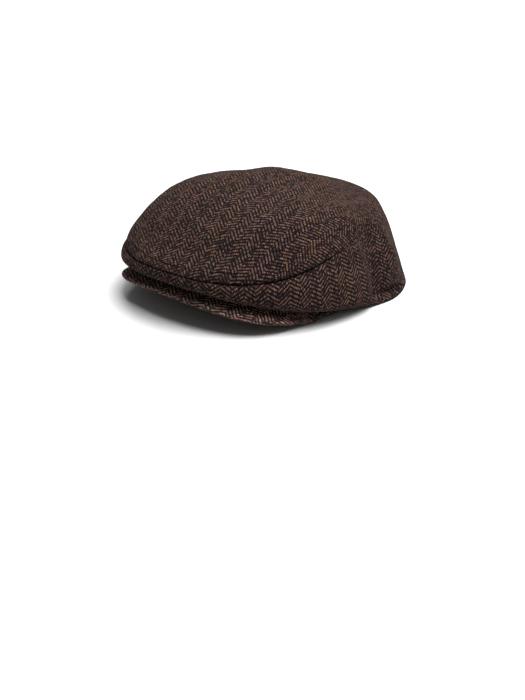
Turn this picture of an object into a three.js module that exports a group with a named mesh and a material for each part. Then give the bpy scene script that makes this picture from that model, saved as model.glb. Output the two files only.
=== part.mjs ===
// A flat cap in herringbone tweed, resting on a table.
// Millimetres, +Z up. The peak points to -Y, the wearer's left is +X, and the table is z = 0.
// The soft crown is two pieces of cloth, a top panel and a side band, sewn together on a seam that runs
// right round. It leans forward over a stiff curved peak, and the open underside takes the head.

import * as THREE from 'three'
import { mergeVertices } from 'three/addons/utils/BufferGeometryUtils.js'

// Driving sizes
const crownLength = 256
const crownWidth = 224
const crownHeight = 104
const clothThickness = 2.2
const headOpeningLength = 202
const headOpeningWidth = 180
const peakLength = 36
const peakThickness = 4.5
const peakDroop = 7.5
const sewingGap = 0.3

// How finely the faceted solids are cut
const stepsAround = 80
const peakSteps = 44
const peakWidthSteps = 4
const peakEdgeSteps = 8
const panelSteps = 11
const bandSteps = 14

// The outer face of the crown, one row for each ring of it from the rim up to the middle of the top.
// Reach is a share of half the length and width of the head opening for the rings that lie on the
// peak, and of the crown for the others. Height is a share of the crown's height. Both are read at
// five compass points. The cap lies a little askew: lift raises a ring by that share of the height at
// the wearer's right side, and lowers it as much at the left.
const crownRings = [
  {
    ring: 'rim',
    shareOf: 'opening',
    reach: { front: 0.94, frontQuarter: 0.96, side: 1, backQuarter: 1.13, back: 1.06 },
    height: { front: 0.35, frontQuarter: 0.233, side: 0.045, backQuarter: -0.005, back: 0 },
    lift: 0.03
  },
  {
    ring: 'underside',
    shareOf: 'opening',
    reach: { front: 1.084, frontQuarter: 1.125, side: 1.108, backQuarter: 1.213, back: 1.109 },
    height: { front: 0.345, frontQuarter: 0.23, side: 0.052, backQuarter: -0.008, back: -0.005 },
    lift: 0.03
  },
  {
    ring: 'lower roll',
    shareOf: 'opening',
    reach: { front: 1.223, frontQuarter: 1.257, side: 1.182, backQuarter: 1.282, back: 1.153 },
    height: { front: 0.325, frontQuarter: 0.21, side: 0.058, backQuarter: -0.005, back: 0 },
    lift: 0.02
  },
  {
    ring: 'widest',
    shareOf: 'crown',
    reach: { front: 1.06, frontQuarter: 1.10, side: 1.02, backQuarter: 0.995, back: 0.92 },
    height: { front: 0.375, frontQuarter: 0.285, side: 0.12, backQuarter: 0.12, back: 0.13 },
    lift: 0
  },
  {
    ring: 'seam',
    shareOf: 'crown',
    reach: { front: 1.07, frontQuarter: 1.07, side: 0.87, backQuarter: 0.865, back: 0.82 },
    height: { front: 0.46, frontQuarter: 0.46, side: 0.605, backQuarter: 0.565, back: 0.555 },
    lift: 0
  },
  {
    ring: 'shoulder',
    shareOf: 'crown',
    reach: { front: 0.955, frontQuarter: 0.94, side: 0.79, backQuarter: 0.77, back: 0.745 },
    height: { front: 0.55, frontQuarter: 0.645, side: 0.77, backQuarter: 0.725, back: 0.71 },
    lift: 0
  },
  {
    ring: 'upper',
    shareOf: 'crown',
    reach: { front: 0.76, frontQuarter: 0.765, side: 0.635, backQuarter: 0.62, back: 0.60 },
    height: { front: 0.735, frontQuarter: 0.81, side: 0.83, backQuarter: 0.77, back: 0.76 },
    lift: 0
  },
  {
    ring: 'top',
    shareOf: 'crown',
    reach: { front: 0.455, frontQuarter: 0.42, side: 0.335, backQuarter: 0.365, back: 0.37 },
    height: { front: 0.935, frontQuarter: 0.945, side: 0.92, backQuarter: 0.895, back: 0.875 },
    lift: 0
  },
  {
    ring: 'middle',
    shareOf: 'crown',
    reach: { front: 0, frontQuarter: 0, side: 0, backQuarter: 0, back: 0 },
    height: { front: 1, frontQuarter: 1, side: 1, backQuarter: 1, back: 1 },
    lift: 0
  }
]

// A place on the cloth is counted in rings: 0 at the rim, and one more for each ring up to the middle.
// Each upright curve runs on to one ring past the middle.
const seamPlace = crownRings.findIndex(row => row.ring === 'seam')
const middlePlace = crownRings.length - 1
const placesOfCurve = crownRings.length

// The outer edge of the peak: how far it stands out from the head opening, as a share of the peak's
// length, at five stations from its middle to each corner, and how far round the corners come.
const peakEdge = { middle: 1.03, quarter: 1.08, half: 1.08, threeQuarters: 0.57, corner: 0.18 }
const peakCornerAngle = THREE.MathUtils.degToRad(80)

// Dents and folds of the cloth: where each lies (degrees round from the front, place up the rings), its
// size each way in the same terms, and how far it pushes the cloth in, as a share of the crown's
// height. A fold with a depth below zero pushes the cloth out.
const folds = [
  { fold: 'side fold', angle: 97, place: 3.25, angleSize: 6, placeSize: 0.6, depth: 0.03 },
  { fold: 'low dimple', angle: 108, place: 2.75, angleSize: 8, placeSize: 0.35, depth: 0.045 },
  { fold: 'ridge behind the fold', angle: 112, place: 3.5, angleSize: 6, placeSize: 0.4, depth: -0.02 },
  { fold: 'flared rim, left', angle: 106, place: 1.6, angleSize: 18, placeSize: 1.1, depth: -0.06 },
  { fold: 'flared rim, right', angle: -108, place: 1.6, angleSize: 20, placeSize: 1.1, depth: -0.05 }
]

// Value at any angle from the values at five evenly spaced stations over half a turn: a smooth
// cosine series, level at both ends, so that both halves of the cap meet without a kink.
function throughStations (values, angle) {
  const last = values.length - 1
  let sum = 0
  for (let wave = 0; wave <= last; wave++) {
    let share = 0
    for (let station = 0; station <= last; station++) {
      const end = station === 0 || station === last ? 0.5 : 1
      share += end * values[station] * Math.cos(Math.PI * wave * station / last)
    }
    const edge = wave === 0 || wave === last ? 0.5 : 1
    sum += edge * 2 / last * share * Math.cos(wave * angle)
  }
  return sum
}

// One point of a ring of the crown, at an angle round from the front
function ringPoint (row, angle) {
  const reach = throughStations(Object.values(row.reach), angle)
  const height = throughStations(Object.values(row.height), angle) - row.lift * Math.sin(angle)
  const ofOpening = row.shareOf === 'opening'
  const halfWidth = (ofOpening ? headOpeningWidth : crownWidth) / 2
  const halfLength = (ofOpening ? headOpeningLength : crownLength) / 2
  return new THREE.Vector3(
    halfWidth * reach * Math.sin(angle),
    -halfLength * reach * Math.cos(angle),
    crownHeight * height
  )
}

// The upright curve of the cloth at one angle, from the rim to the middle of the top and on to the
// first ring beyond it, so that the dome is round there
function wallCurve (angle) {
  const points = crownRings.map(row => ringPoint(row, angle))
  points.push(ringPoint(crownRings[middlePlace - 1], angle + Math.PI))
  return new THREE.CatmullRomCurve3(points, false, 'centripetal')
}

// The level direction that points out of the crown at one angle
function levelOutward (angle) {
  return new THREE.Vector3(crownWidth * Math.sin(angle), -crownLength * Math.cos(angle), 0).normalize()
}

// How far the folds press into the cloth at one spot
function foldDepth (angle, place) {
  const turned = THREE.MathUtils.radToDeg(Math.atan2(Math.sin(angle), Math.cos(angle)))
  return folds.reduce((sum, fold) => {
    const across = (turned - fold.angle) / fold.angleSize
    const along = (place - fold.place) / fold.placeSize
    return sum + crownHeight * fold.depth * Math.exp(-across * across - along * along)
  }, 0)
}

// A point of the cloth at an angle, a place up the rings and a depth below the outer face
function clothPoint (angle, place, depth) {
  const step = 0.02
  const share = place / placesOfCurve
  const here = wallCurve(angle).getPoint(share)
  const upward = wallCurve(angle).getTangent(share)
  const around = wallCurve(angle + step).getPoint(share).sub(wallCurve(angle - step).getPoint(share))
  const outward = around.cross(upward).normalize()
  if (place > middlePlace - step) outward.set(0, 0, 1)
  here.addScaledVector(outward, -depth)
  here.addScaledVector(levelOutward(angle), -foldDepth(angle, place))
  here.z = Math.max(here.z, depth)
  return here
}

// The place at which a wall stops so that half the sewing gap is left at the seam
function besideSeam (angle, side) {
  const curve = wallCurve(angle)
  const step = 0.01
  const before = curve.getPoint((seamPlace - step) / placesOfCurve)
  const after = curve.getPoint((seamPlace + step) / placesOfCurve)
  return seamPlace + side * sewingGap / 2 * 2 * step / before.distanceTo(after)
}

// Turn a lathe of (place, depth) pairs into cloth. The lathe's own radius and height only carry each
// vertex's place and depth, and its angle is the angle round the cap.
function clothFromLathe (profile, stopPlace) {
  const lathe = new THREE.LatheGeometry(profile, stepsAround)
  const position = lathe.attributes.position
  const turn = lathe.attributes.uv
  for (let i = 0; i < position.count; i++) {
    const angle = 2 * Math.PI * (turn.getX(i) % 1)
    const radius = Math.hypot(position.getX(i), position.getZ(i))
    const place = THREE.MathUtils.clamp(middlePlace - radius, 0, middlePlace)
    const depth = position.getY(i)
    const held = stopPlace(place, angle)
    const point = clothPoint(angle, held, depth)
    position.setXYZ(i, point.x, point.y, point.z)
  }
  return sealed(lathe)
}

// One closed skin: shared corners joined and flat triangles dropped
function sealed (geometry) {
  geometry.deleteAttribute('normal')
  geometry.deleteAttribute('uv')
  const merged = mergeVertices(geometry, 1e-4)
  const kept = []
  for (let i = 0; i < merged.index.count; i += 3) {
    const [a, b, c] = [0, 1, 2].map(corner => merged.index.getX(i + corner))
    if (a !== b && b !== c && c !== a) kept.push(a, b, c)
  }
  merged.setIndex(kept)
  merged.computeVertexNormals()
  return merged
}

// Evenly spaced numbers from one end to the other
function spaced (from, to, steps) {
  return Array.from({ length: steps + 1 }, (_, i) => from + (to - from) * i / steps)
}

// The top panel: a dome of cloth from the seam to the middle of the top
function topPanelGeometry () {
  const places = spaced(seamPlace, middlePlace, panelSteps)
  const outer = places.map(place => new THREE.Vector2(middlePlace - place, 0))
  const inner = places.map(place => new THREE.Vector2(middlePlace - place, clothThickness))
  const profile = [...inner.reverse(), ...outer]
  return clothFromLathe(profile, (place, angle) => Math.max(place, besideSeam(angle, 1)))
}

// The side band: a wall of cloth from the rim to the seam, low at the front where it lies on the peak
function sideBandGeometry () {
  const places = spaced(0, seamPlace, bandSteps)
  const outer = places.map(place => new THREE.Vector2(middlePlace - place, 0))
  const inner = places.map(place => new THREE.Vector2(middlePlace - place, clothThickness))
  const profile = [...outer, ...inner.reverse(), outer[0].clone()]
  return clothFromLathe(profile, (place, angle) => Math.min(place, besideSeam(angle, -1)))
}

// The peak: a stiff board with a rounded edge, extruded round the front of the head opening and
// curving down towards its outer edge
function peakGeometry () {
  const half = peakThickness / 2
  const shares = spaced(0, 1, peakWidthSteps)
  const board = new THREE.Shape(shares.map(share => new THREE.Vector2(share, -half)))
  board.absarc(1, 0, half, -Math.PI / 2, Math.PI / 2)
  for (const share of shares.reverse()) board.lineTo(share, half)
  board.closePath()
  const body = new THREE.ExtrudeGeometry(board, {
    depth: 1,
    steps: peakSteps,
    bevelEnabled: false,
    curveSegments: peakEdgeSteps
  })
  const position = body.attributes.position
  const rim = crownRings[0]
  for (let i = 0; i < position.count; i++) {
    const turned = 1 - 2 * position.getZ(i)
    const angle = turned * peakCornerAngle
    const inner = ringPoint(rim, angle)
    const flat = new THREE.Vector2(inner.x, inner.y)
    const outward = flat.clone().normalize()
    const width = peakLength * throughStations(Object.values(peakEdge), turned * Math.PI)
    const across = position.getX(i)
    const share = Math.min(across, 1)
    const place = flat.addScaledVector(outward, share * width + across - share)
    const middle = inner.z - sewingGap - half - peakDroop * share * share
    position.setXYZ(i, place.x, place.y, Math.max(middle, half) + position.getY(i))
  }
  return sealed(body)
}

// A named mesh in its own cloth
function piece (name, geometry, colour, roughness) {
  const cloth = new THREE.MeshStandardMaterial({ color: colour, roughness, metalness: 0 })
  const mesh = new THREE.Mesh(geometry, cloth)
  mesh.name = name
  return mesh
}

const flatCap = new THREE.Group()
flatCap.name = 'flat_cap'
flatCap.add(
  piece('top_panel', topPanelGeometry(), '#5a4b44', 0.95),
  piece('side_band', sideBandGeometry(), '#52453f', 0.95),
  piece('peak', peakGeometry(), '#4d423e', 0.95)
)

// The origin is on the table, under the middle of the cap
const outside = new THREE.Box3().setFromObject(flatCap)
const middle = outside.getCenter(new THREE.Vector3())
flatCap.position.set(-middle.x, -middle.y, -outside.min.z)

export default flatCap
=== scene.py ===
# A herringbone tweed flat cap lying on a pale table, seen from the wearer's left of its peak.
# Metres, +Z up, the peak points to -Y and the wearer's left is +X.
import math
import bmesh
import bpy
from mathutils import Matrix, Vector, noise


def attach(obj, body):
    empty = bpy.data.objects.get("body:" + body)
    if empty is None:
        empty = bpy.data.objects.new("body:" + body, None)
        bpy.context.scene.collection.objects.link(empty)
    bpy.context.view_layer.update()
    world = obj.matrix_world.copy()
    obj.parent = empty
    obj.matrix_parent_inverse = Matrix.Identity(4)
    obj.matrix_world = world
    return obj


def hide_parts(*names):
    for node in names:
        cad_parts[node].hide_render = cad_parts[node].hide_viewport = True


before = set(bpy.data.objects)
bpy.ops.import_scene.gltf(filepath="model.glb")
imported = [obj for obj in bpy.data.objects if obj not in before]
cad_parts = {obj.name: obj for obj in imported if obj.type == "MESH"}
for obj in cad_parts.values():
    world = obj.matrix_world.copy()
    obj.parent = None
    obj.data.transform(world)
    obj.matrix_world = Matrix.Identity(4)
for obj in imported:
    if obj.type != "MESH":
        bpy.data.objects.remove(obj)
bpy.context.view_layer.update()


# Camera
# The photographer stands off the left front corner of the cap, about 1.26 m away, and looks down
# on it with a short telephoto lens.
look_from = 1.255
turned_left = math.radians(41)
raised = math.radians(19)
look_at = Vector((0.000137, 0.004753, 0.050))
level_share = math.cos(raised)
away = Vector((math.sin(turned_left) * level_share, -math.cos(turned_left) * level_share, math.sin(raised)))
camera = bpy.data.objects.new("camera", bpy.data.cameras.new("camera"))
camera.data.sensor_fit = "VERTICAL"
camera.data.sensor_height = 36
camera.data.lens = 72.3
camera.location = look_at + away * look_from
aim_down = math.radians(4.9)
aim_left = math.radians(0.19)
camera.rotation_euler = (math.radians(90) - raised - aim_down, 0, turned_left + aim_left)
bpy.context.scene.collection.objects.link(camera)
bpy.context.scene.camera = camera


# Table and studio light
# A pale table top that runs on out of sight, lit so strongly that it shows as pure white: a large
# soft light overhead, a weak one at the back left, one on the table behind the cap, and white walls.
# None of it is part of the cap.
def linear(hex_colour):
    parts = [int(hex_colour[i:i + 2], 16) / 255 for i in (1, 3, 5)]
    return tuple(p / 12.92 if p <= 0.04045 else ((p + 0.055) / 1.055) ** 2.4 for p in parts) + (1,)


def add(tree, kind, inputs=None, output=0, **settings):
    """Adds a shader node. An input is a plain value or another node's socket. Gives one output."""
    node = tree.nodes.new(kind)
    for name, value in settings.items():
        setattr(node, name, value)
    for place, value in (inputs or {}).items():
        if isinstance(value, bpy.types.NodeSocket):
            tree.links.new(value, node.inputs[place])
        else:
            node.inputs[place].default_value = value
    return node.outputs[output]


table_colour = "#c8c8c8"
table_mesh = bmesh.new()
bmesh.ops.create_circle(table_mesh, cap_ends=True, segments=64, radius=8)
table_data = bpy.data.meshes.new("table")
table_mesh.to_mesh(table_data)
table_mesh.free()
table = bpy.data.objects.new("table", table_data)
bpy.context.scene.collection.objects.link(table)
white_paint = bpy.data.materials.new("matt_white_table_top")
white_paint.use_nodes = True
white_shader = white_paint.node_tree.nodes["Principled BSDF"]
white_shader.inputs["Base Color"].default_value = linear(table_colour)
white_shader.inputs["Roughness"].default_value = 0.9
table_data.materials.append(white_paint)

world = bpy.data.worlds.new("studio_walls")
bpy.context.scene.world = world
world.use_nodes = True
world.node_tree.nodes["Background"].inputs["Color"].default_value = (1, 1, 1, 1)
world.node_tree.nodes["Background"].inputs["Strength"].default_value = 0.22


def softbox(name, width, watts, place, target):
    lamp = bpy.data.lights.new(name, "AREA")
    lamp.shape = "DISK"
    lamp.size = width
    lamp.energy = watts
    light = bpy.data.objects.new(name, lamp)
    light.location = place
    light.rotation_euler = (Vector(target) - Vector(place)).to_track_quat("-Z", "Y").to_euler()
    bpy.context.scene.collection.objects.link(light)


softbox("overhead_softbox", 1.2, 44, (0.50, -0.05, 1.32), (0, 0, 0.05))
softbox("backdrop_softbox", 1.6, 48, (-0.80, 1.05, 1.55), (-0.90, 1.20, 0))
softbox("left_fill", 0.8, 3.0, (1.1, 0.5, 0.8), (0, 0, 0.05))
bpy.context.scene.view_settings.view_transform = "Standard"


# Top panel
# The rounded top of the crown: one piece of herringbone wool tweed, its columns running from
# front to back, steamed into a dome and sewn to the side band all round its edge.
crown_length = 0.256
crown_width = 0.224
crown_height = 0.104
cloth_thickness = 0.0022
head_opening_length = 0.202
head_opening_width = 0.180
head_centre = Vector((0.000137, 0.009753, 0))
seam_place = 4
middle_place = 8

# One row for each ring of the crown from the rim to the middle of the top. Its columns are name,
# whether its reach is a share of the head opening or of the crown, its reach out from the head's
# centre and its height at the front, front quarter, side, back quarter and back, and how much higher
# it lies at the wearer's right.
crown_rings = [
    ("rim", True, (0.94, 0.96, 1, 1.13, 1.06), (0.35, 0.233, 0.045, -0.005, 0), 0.03),
    ("underside", True, (1.084, 1.125, 1.108, 1.213, 1.109), (0.345, 0.23, 0.052, -0.008, -0.005), 0.03),
    ("lower roll", True, (1.223, 1.257, 1.182, 1.282, 1.153), (0.325, 0.21, 0.058, -0.005, 0), 0.02),
    ("widest", False, (1.06, 1.10, 1.02, 0.995, 0.92), (0.375, 0.285, 0.12, 0.12, 0.13), 0),
    ("seam", False, (1.07, 1.07, 0.87, 0.865, 0.82), (0.46, 0.46, 0.605, 0.565, 0.555), 0),
    ("shoulder", False, (0.955, 0.94, 0.79, 0.77, 0.745), (0.55, 0.645, 0.77, 0.725, 0.71), 0),
    ("upper", False, (0.76, 0.765, 0.635, 0.62, 0.60), (0.735, 0.81, 0.83, 0.77, 0.76), 0),
    ("top", False, (0.455, 0.42, 0.335, 0.365, 0.37), (0.935, 0.945, 0.92, 0.895, 0.875), 0),
    ("middle", False, (0, 0, 0, 0, 0), (1, 1, 1, 1, 1), 0),
]

# Soft folds: degrees round from the front, place up the rings, size each way, metres pushed in
folds = [
    ("side fold", 97, 3.1, 5.5, 0.75, 0.0085),
    ("low dimple", 108, 2.75, 8, 0.35, 0.0060),
    ("ridge behind the fold", 112, 3.5, 6, 0.5, -0.0045),
    ("flared rim, left", 106, 1.6, 18, 1.1, -0.0062),
    ("flared rim, right", -108, 1.6, 20, 1.1, -0.0052),
]


def cosine_waves(values):
    """The waves of the even, smooth curve through values at evenly spaced stations of half a turn."""
    last = len(values) - 1
    waves = []
    for wave in range(last + 1):
        share = 0
        for station, value in enumerate(values):
            end = 0.5 if station in (0, last) else 1
            share += end * value * math.cos(math.pi * wave * station / last)
        waves.append((0.5 if wave in (0, last) else 1) * 2 / last * share)
    return waves


def through_stations(waves, angle):
    return sum(size * math.cos(wave * angle) for wave, size in enumerate(waves))


ring_waves = [(of_opening, cosine_waves(reach), cosine_waves(height), lift)
              for name, of_opening, reach, height, lift in crown_rings]


def ring_point(ring, angle):
    of_opening, reach, height, lift = ring_waves[ring]
    half_width = (head_opening_width if of_opening else crown_width) / 2
    half_length = (head_opening_length if of_opening else crown_length) / 2
    out = through_stations(reach, angle)
    return Vector((half_width * out * math.sin(angle), -half_length * out * math.cos(angle),
                   crown_height * (through_stations(height, angle) - lift * math.sin(angle))))


upright_curves = {}


def wall_point(angle, place):
    """A point on the cloth's smooth outer face: a centripetal Catmull-Rom curve up the rings."""
    key = round(angle, 7)
    if key not in upright_curves:
        points = [ring_point(ring, angle) for ring in range(len(crown_rings))]
        points.append(ring_point(middle_place - 1, angle + math.pi))
        points.insert(0, points[0] * 2 - points[1])
        spans = [max((b - a).length ** 0.5, 1e-4) for a, b in zip(points, points[1:])]
        upright_curves[key] = (points, spans)
    points, spans = upright_curves[key]
    first = min(int(place), middle_place)
    a, b, c = points[first:first + 3]
    d = points[first + 3] if first + 3 < len(points) else c * 2 - b
    d0, d1 = spans[first], spans[first + 1]
    d2 = spans[first + 2] if first + 2 < len(spans) else max((d - c).length ** 0.5, 1e-4)
    leave = ((b - a) / d0 - (c - a) / (d0 + d1) + (c - b) / d1) * d1
    arrive = ((c - b) / d1 - (d - b) / (d1 + d2) + (d - c) / d2) * d1
    t = place - first
    return (b * (2 * t ** 3 - 3 * t ** 2 + 1) + leave * (t ** 3 - 2 * t ** 2 + t)
            + c * (3 * t ** 2 - 2 * t ** 3) + arrive * (t ** 3 - t ** 2))


def wall_speed(angle, place):
    """Metres of cloth for one place up the rings."""
    return (wall_point(angle, place + 0.01) - wall_point(angle, max(place - 0.01, 0))).length / 0.02


def fold_depth(angle, place):
    turned = math.degrees(math.atan2(math.sin(angle), math.cos(angle)))
    return sum(depth * math.exp(-((turned - at) / wide) ** 2 - ((place - up) / tall) ** 2)
               for _, at, up, wide, tall, depth in folds)


def forward(angle):
    """1 where the crown leans over the peak, 0 at its sides and back."""
    starts, spread = 0.1, 0.4
    share = min(max((math.cos(angle) - starts) / spread, 0), 1)
    return share * share * (3 - 2 * share)


def seam_dip(angle, from_seam):
    """The cloth draws in towards the stitches of the seam, most at the front, metres."""
    everywhere, more_at_front, reach = 0.0002, 0.0013, 0.004
    return (everywhere + more_at_front * forward(angle)) * math.exp(-(from_seam / reach) ** 2)


def hem_crease(angle, place):
    """The band bulges over its stitched hem at the sides and back, metres pushed in."""
    crease_place, deep, reach = 2.62, 0.0020, 0.0016
    from_crease = (place - crease_place) * wall_speed(angle, 2.6)
    behind = min(max((-math.cos(angle) + 0.1) / 0.3, 0), 1)
    return deep * behind * math.exp(-(from_crease / reach) ** 2)


def cloth_point(angle, place, depth):
    """A point of the finished cloth, so deep below its outer face. Soft waves about 35 mm and 11 mm
    long cross it, and the stitches of the seam pucker it."""
    step = 0.02
    here = wall_point(angle, place)
    above = wall_point(angle, min(place + step, middle_place + 0.5))
    up = above - wall_point(angle, max(place - step, 0))
    around = wall_point(angle + step, place) - wall_point(angle - step, place)
    out = around.cross(up).normalized() if place < middle_place - step else Vector((0, 0, 1))
    from_seam = abs(place - seam_place) * wall_speed(angle, seam_place)
    soft = 0.0006 * noise.noise(here * 28 + Vector((3, 7, 1))) + 0.00025 * noise.noise(here * 90)
    stitches, uneven, pucker_reach = 110, 7, 0.004
    pucker = 0.00018 * math.sin(angle * stitches + 2 * math.sin(angle * uneven))
    pucker = pucker * math.exp(-(from_seam / pucker_reach) ** 2)
    here += out * (soft + pucker - depth - seam_dip(angle, from_seam) - hem_crease(angle, place))
    level = Vector((crown_width * math.sin(angle), -crown_length * math.cos(angle), 0)).normalized()
    here -= level * fold_depth(angle, place)
    here.z = max(here.z, depth)
    return here


def turned_edge(angle, gap):
    """Rows (metres from the seam, depth) of the cloth's turned edge, from its outer face to its
    inner one. It is rounder at the front, where the seam is pressed open."""
    radius = 0.0003 + 0.0011 * forward(angle)
    gap += 0.0004 * forward(angle)
    steps = [math.pi / 2 * i / 4 for i in range(1, 5)]
    outer = [(radius - radius * math.sin(t) + gap, radius - radius * math.cos(t)) for t in steps]
    inner = [(back, cloth_thickness - down) for back, down in reversed(outer)]
    beside = [(metres, 0) for metres in (0.0078, 0.0060, 0.0044, 0.0032, 0.0022, 0.0015, radius + gap)]
    within = [(metres, cloth_thickness) for metres in (radius + gap, 0.004, 0.008)]
    return beside + outer + inner + within


def cloth_shell(name, rows_at, steps_around, weave):
    """A closed skin of cloth round the crown. rows_at gives the rows of an angle, each a place,
    metres past it and a depth. weave gives the cloth's own flat coordinates there, in metres."""
    row_count = len(rows_at(0))
    bm = bmesh.new()
    bmesh.ops.create_grid(bm, x_segments=steps_around, y_segments=row_count - 1, size=1)
    uv = bm.loops.layers.uv.new("weave")
    columns = []
    flats = []
    for step in range(steps_around + 1):
        angle = -math.pi + 2 * math.pi * step / steps_around
        speed = wall_speed(angle, seam_place)
        column = [(angle, min(max(place + past / speed, 0), middle_place), depth)
                  for place, past, depth in rows_at(angle)]
        columns.append(column)
        flats.append(weave(angle, column))
    for vert in bm.verts:
        step = round((vert.co.x + 1) / 2 * steps_around)
        row = round((vert.co.y + 1) / 2 * (row_count - 1))
        for loop in vert.link_loops:
            loop[uv].uv = flats[step][row]
        vert.co = cloth_point(*columns[step][row]) + head_centre
    bmesh.ops.remove_doubles(bm, verts=bm.verts, dist=1e-6)
    bmesh.ops.recalc_face_normals(bm, faces=bm.faces)
    for face in bm.faces:
        face.smooth = True
    data = bpy.data.meshes.new(name)
    bm.to_mesh(data)
    bm.free()
    piece = bpy.data.objects.new(name, data)
    bpy.context.scene.collection.objects.link(piece)
    return piece


def tweed(name, light_yarns, dark_yarns):
    """Herringbone wool tweed: a two-and-two twill of light warp and dark weft that changes hand
    every eight yarns. It gives the eye broken rows of slanting strokes, each made of short rounded
    floats, in browns that vary from float to float, with a few rust and mustard ones, and a dry,
    speckled face. Yarns are 1.2 mm and 0.9 mm apart."""
    warp_gap, weft_gap, yarns_a_column = 0.0012, 0.0009, 8
    maths = "ShaderNodeMath"
    vector_maths = "ShaderNodeVectorMath"
    material = bpy.data.materials.new(name)
    material.use_nodes = True
    tree = material.node_tree
    shader = tree.nodes["Principled BSDF"]

    # Which warp and weft yarn lies here, once their wandering is allowed for
    cloth = add(tree, "ShaderNodeUVMap", uv_map="weave")
    wander = add(tree, "ShaderNodeTexNoise", {"Vector": cloth, "Scale": 220.0, "Detail": 2.0}, 1)
    wander = add(tree, vector_maths, {0: wander, 1: (0.0018, 0.0013, 0), 2: (-0.0009, -0.00065, 0)},
                 operation="MULTIPLY_ADD")
    moved = add(tree, vector_maths, {0: cloth, 1: wander}, operation="ADD")
    yarns = add(tree, vector_maths, {0: moved, 1: (warp_gap, weft_gap, 1)}, operation="DIVIDE")
    whole = add(tree, vector_maths, {0: yarns}, operation="FLOOR")
    part = add(tree, vector_maths, {0: yarns}, operation="FRACTION")
    warp = add(tree, "ShaderNodeSeparateXYZ", {0: whole}, 0)
    weft = add(tree, "ShaderNodeSeparateXYZ", {0: whole}, 1)
    in_warp = add(tree, "ShaderNodeSeparateXYZ", {0: part}, 0)
    in_weft = add(tree, "ShaderNodeSeparateXYZ", {0: part}, 1)

    # Two over, two under, one yarn further on each time, to the other hand in every second column
    column = add(tree, maths, {0: warp, 1: yarns_a_column}, operation="DIVIDE")
    column = add(tree, maths, {0: column}, operation="FLOOR")
    other_hand = add(tree, maths, {0: column, 1: 2.0}, operation="FLOORED_MODULO")
    hand = add(tree, maths, {0: other_hand, 1: -2.0, 2: 1.0}, operation="MULTIPLY_ADD")
    shift = add(tree, maths, {0: other_hand, 1: 2.0, 2: weft}, operation="MULTIPLY_ADD")
    twill = add(tree, maths, {0: warp, 1: hand, 2: shift}, operation="MULTIPLY_ADD")
    twill = add(tree, maths, {0: twill, 1: 4.0}, operation="FLOORED_MODULO")
    warp_up = add(tree, maths, {0: twill, 1: 1.5}, operation="LESS_THAN")

    # How proud each float stands: round across the yarn, and dipping at both ends of the float
    along_warp = add(tree, maths, {0: twill, 1: in_weft}, operation="ADD")
    warp_end = add(tree, maths, {0: along_warp, 1: math.pi / 2}, operation="MULTIPLY")
    warp_end = add(tree, maths, {0: warp_end}, operation="SINE")
    warp_end = add(tree, maths, {0: warp_end, 1: 0.3, 2: 0.7}, operation="MULTIPLY_ADD")
    warp_round = add(tree, maths, {0: in_warp, 1: math.pi}, operation="MULTIPLY")
    warp_round = add(tree, maths, {0: warp_round}, operation="SINE")
    weft_way = add(tree, maths, {0: in_warp, 1: other_hand}, operation="SUBTRACT")
    weft_way = add(tree, maths, {0: weft_way}, operation="ABSOLUTE")
    along_weft = add(tree, maths, {0: twill, 1: weft_way}, operation="ADD")
    weft_end = add(tree, maths, {0: along_weft, 1: math.pi / 2, 2: -math.pi}, operation="MULTIPLY_ADD")
    weft_end = add(tree, maths, {0: weft_end}, operation="SINE")
    weft_end = add(tree, maths, {0: weft_end, 1: 0.3, 2: 0.7}, operation="MULTIPLY_ADD")
    weft_round = add(tree, maths, {0: in_weft, 1: math.pi}, operation="MULTIPLY")
    weft_round = add(tree, maths, {0: weft_round}, operation="SINE")
    warp_proud = add(tree, maths, {0: warp_round, 1: warp_end}, operation="MULTIPLY")
    weft_proud = add(tree, maths, {0: weft_round, 1: weft_end}, operation="MULTIPLY")
    proud = add(tree, "ShaderNodeMix", {0: warp_up, 2: weft_proud, 3: warp_proud}, data_type="FLOAT")

    # Each warp float takes its own shade, now and then a fleck, and each weft yarn is slubby
    float_start = add(tree, maths, {0: weft, 1: twill}, operation="SUBTRACT")
    float_seed = add(tree, "ShaderNodeCombineXYZ", {0: warp, 1: float_start})
    shade = add(tree, "ShaderNodeTexWhiteNoise", {"Vector": float_seed}, noise_dimensions="2D")
    light_yarn = add(tree, "ShaderNodeValToRGB", {0: shade})
    ramp = light_yarn.node.color_ramp
    places = (0.0, 0.25, 0.5, 0.75, 0.9, 0.96)
    ramp.elements[0].color = linear(light_yarns[0])
    ramp.elements[1].position = places[-1]
    ramp.elements[1].color = linear(light_yarns[-1])
    for place, colour in list(zip(places, light_yarns))[1:-1]:
        ramp.elements.new(place).color = linear(colour)
    slub = add(tree, "ShaderNodeTexNoise", {"Vector": cloth, "Scale": 160.0, "Detail": 3.0})
    dark_yarn = add(tree, "ShaderNodeMix", {0: slub, 6: linear(dark_yarns[0]), 7: linear(dark_yarns[1])}, 2,
                    data_type="RGBA")
    yarn = add(tree, "ShaderNodeMix", {0: warp_up, 6: dark_yarn, 7: light_yarn}, 2, data_type="RGBA")

    # The valleys between floats are painted darker, painted shade for the shadow they lie in, and short
    # wool hairs 0.7 mm apart speckle the whole face
    painted_valley_shade = add(tree, maths, {0: proud, 1: 0.85, 2: 0.28}, operation="MULTIPLY_ADD")
    hair = add(tree, "ShaderNodeTexNoise",
               {"Vector": cloth, "Scale": 1400.0, "Detail": 3.0, "Roughness": 0.7})
    speckle_and_valley_shade = add(tree, maths, {0: hair, 1: 2.3, 2: -0.5}, operation="MULTIPLY_ADD")
    speckle_and_valley_shade = add(tree, maths, {0: speckle_and_valley_shade, 1: painted_valley_shade}, operation="MULTIPLY")
    # The yarn colour, speckled by the hairs and darkened by the painted valley shade
    yarn_with_painted_shade = add(tree, vector_maths, {0: yarn, "Scale": speckle_and_valley_shade}, operation="SCALE")

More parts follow.
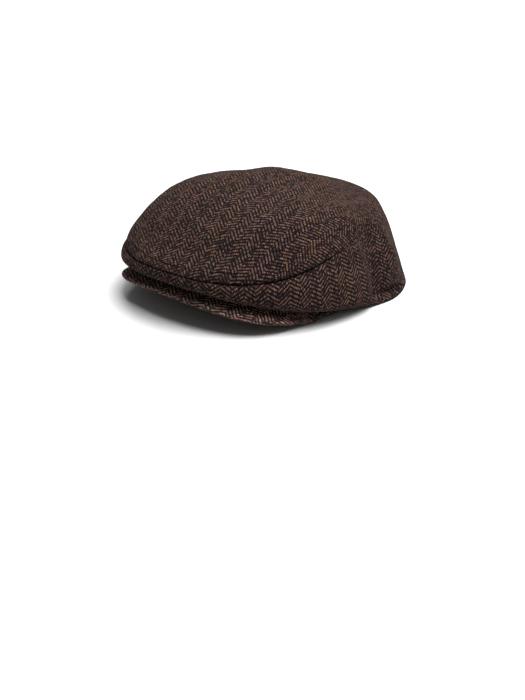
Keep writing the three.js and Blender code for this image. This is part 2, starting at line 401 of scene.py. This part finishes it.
    # Loose fibres haze it a little in soft patches
    patches = add(tree, "ShaderNodeTexNoise", {"Vector": cloth, "Scale": 45.0, "Detail": 2.0})
    haze = add(tree, maths, {0: hair, 1: patches}, operation="MULTIPLY")
    haze = add(tree, maths, {0: haze, 1: 0.08}, operation="MULTIPLY")
    colour = add(tree, "ShaderNodeMix", {0: haze, 6: yarn_with_painted_shade, 7: linear(light_yarns[1])}, 2, data_type="RGBA")
    tree.links.new(colour, shader.inputs["Base Color"])
    relief = add(tree, maths, {0: hair, 1: 0.8, 2: proud}, operation="MULTIPLY_ADD")
    bump = add(tree, "ShaderNodeBump", {"Height": relief, "Strength": 0.8, "Distance": 0.0004})
    tree.links.new(bump, shader.inputs["Normal"])
    shader.inputs["Roughness"].default_value = 0.95
    shader.inputs["Specular IOR Level"].default_value = 0.06
    shader.inputs["Sheen Weight"].default_value = 0.02
    shader.inputs["Sheen Roughness"].default_value = 0.5
    shader.inputs["Sheen Tint"].default_value = linear("#a08070")
    return material


brown_yarns = ("#1f191d", "#3b2d2a", "#57433c", "#7b6156", "#643937", "#6d593a")
navy_yarns = ("#05050a", "#110b0c")
crown_tweed = tweed("herringbone_tweed_crown", brown_yarns, navy_yarns)
seam_gap = 0.0002


def top_rows(angle):
    steps = [middle_place - (middle_place - seam_place - 0.5) * i / 52 for i in range(53)]
    rows = [(place, 0, 0) for place in steps]
    rows += [(seam_place, metres, depth) for metres, depth in turned_edge(angle, seam_gap)]
    rows += [(place, 0, cloth_thickness) for place in reversed(steps[::2])]
    return rows


def top_weave(angle, column):
    """The flat cloth of the dome: as far from the middle as along the cloth, in its own direction."""
    flat = []
    run = 0.0
    last_place = middle_place
    before = wall_point(angle, middle_place)
    for _, place, _depth in column:
        here = wall_point(angle, place)
        step = (here - before).length
        run += step if place <= last_place else -step
        before, last_place = here, place
        level = Vector((here.x, here.y))
        way = level.normalized() if level.length > 1e-5 else Vector((math.sin(angle), -math.cos(angle)))
        flat.append((way.x * run, way.y * run))
    return flat


top_panel = cloth_shell("top_panel_cloth", top_rows, 320, top_weave)
top_panel.data.materials.append(crown_tweed)
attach(top_panel, "root")
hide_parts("top_panel")


# Side band
# The wall of the crown below the seam, of the same tweed with its columns upright. It rolls under
# at the front and lies on the peak, and its rim is turned up in a narrow stitched hem.
band_turns = 360
band_middle_place = 3.4
band_samples = 84
band_top = 4.2

band_reach = [0.0]
for turn in range(band_turns):
    a, b = (wall_point(-math.pi + 2 * math.pi * i / band_turns, band_middle_place)
            for i in (turn, turn + 1))
    band_reach.append(band_reach[-1] + (b - a).length)


def band_rows(angle):
    edge = [(seam_place, -metres, depth) for metres, depth in reversed(turned_edge(angle, seam_gap))]
    steps = [(seam_place - 0.5) * (1 - i / 84) for i in range(85)]
    rows = edge + [(place, 0, 0) for place in steps]
    rows += [(0, 0, 0.0005), (0, 0, cloth_thickness - 0.0005)]
    rows += [(place, 0, cloth_thickness) for place in reversed(steps[::3])]
    rows.append(rows[0])
    return rows


def band_weave(angle, column):
    """The flat cloth of the band: its length round the crown, and down from the seam."""
    turn = (angle + math.pi) / (2 * math.pi) * band_turns
    low = min(int(turn), band_turns - 1)
    around = band_reach[low] + (band_reach[low + 1] - band_reach[low]) * (turn - low)
    around -= band_reach[-1] / 2
    samples = [wall_point(angle, band_top * i / band_samples) for i in range(band_samples + 1)]
    lengths = [0.0]
    for a, b in zip(samples, samples[1:]):
        lengths.append(lengths[-1] + (b - a).length)
    to_seam = lengths[round(seam_place / band_top * band_samples)]
    flat = []
    for _, place, _depth in column:
        at = min(place / band_top * band_samples, band_samples - 0.001)
        i = int(at)
        flat.append((around, lengths[i] + (lengths[i + 1] - lengths[i]) * (at - i) - to_seam))
    return flat


side_band = cloth_shell("side_band_cloth", band_rows, 400, band_weave)
side_band.data.materials.append(tweed("herringbone_tweed_band", brown_yarns, navy_yarns))
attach(side_band, "root")
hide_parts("side_band")


# Peak
# A stiff board covered in the same tweed, drawn tight over a rounded edge, and set under the front
# of the band. Its corners rest on the table and its middle stands clear of it. Its yarns are coloured
# lighter than the crown's: painted light for the light that falls on its face.
peak_length = 0.036
peak_thickness = 0.0045
peak_droop = 0.0075
sewing_gap = 0.0003
peak_corner_angle = math.radians(80)
peak_edge = cosine_waves((1.03, 1.08, 1.08, 0.57, 0.18))
peak_steps = 220
under_steps, edge_steps, top_steps = 24, 14, 30
round_corner = 0.035

# The rows of the board's section: share of its width, side (-1 under, 1 on top), and how far out on
# its rounded edge
peak_profile = [(i / under_steps, -1, 0) for i in range(under_steps + 1)]
edge_turns = [math.pi * i / edge_steps for i in range(1, edge_steps)]
peak_profile += [(1, -math.cos(turn), math.sin(turn)) for turn in edge_turns]
peak_profile += [(i / top_steps, 1, 0) for i in range(top_steps, -1, -1)]
peak_profile.append(peak_profile[0])
# Lighter yarns than the crown's, painted light for the light falling on the peak's face
peak_yarns_painted_lighter = ("#3a3134", "#67534e", "#907369", "#bb9c8e", "#966260", "#a08a62")

bm = bmesh.new()
bmesh.ops.create_grid(bm, x_segments=peak_steps, y_segments=len(peak_profile) - 1, size=1)
uv = bm.loops.layers.uv.new("weave")
for vert in bm.verts:
    turned = vert.co.x
    share, up, past = peak_profile[round((vert.co.y + 1) / 2 * (len(peak_profile) - 1))]
    angle = turned * peak_corner_angle
    inner = ring_point(0, angle)
    flat = Vector((inner.x, inner.y, 0))
    out = flat.normalized()
    width = peak_length * through_stations(peak_edge, turned * math.pi)
    corner = math.sqrt(max(1 - (max(abs(turned) - 1 + round_corner, 0) / round_corner) ** 2, 0.02))
    half = peak_thickness / 2
    place = flat + out * (share * width + past * half)
    middle = max(inner.z - sewing_gap - half - peak_droop * share * share, half)
    round_edge = math.asin(min(past, 1)) * half
    unrolled = share * width + (round_edge if up < 0 else math.pi * half - round_edge)
    if up > 0 and past == 0:
        unrolled = width + math.pi * half + (1 - share) * width
    for loop in vert.link_loops:
        onto = flat + out * (2 * width + math.pi * half - unrolled)
        loop[uv].uv = (onto.x, onto.y)
    place.z = middle + up * half * corner
    vert.co = place + head_centre
bmesh.ops.remove_doubles(bm, verts=bm.verts, dist=1e-6)
bmesh.ops.holes_fill(bm, edges=[edge for edge in bm.edges if edge.is_boundary])
bmesh.ops.recalc_face_normals(bm, faces=bm.faces)
for face in bm.faces:
    face.smooth = True
peak_data = bpy.data.meshes.new("peak_cloth")
bm.to_mesh(peak_data)
bm.free()
peak = bpy.data.objects.new("peak_cloth", peak_data)
bpy.context.scene.collection.objects.link(peak)
# The peak's tweed takes the lighter yarns of painted light
peak_data.materials.append(tweed("herringbone_tweed_peak", peak_yarns_painted_lighter, navy_yarns))
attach(peak, "root")
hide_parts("peak")
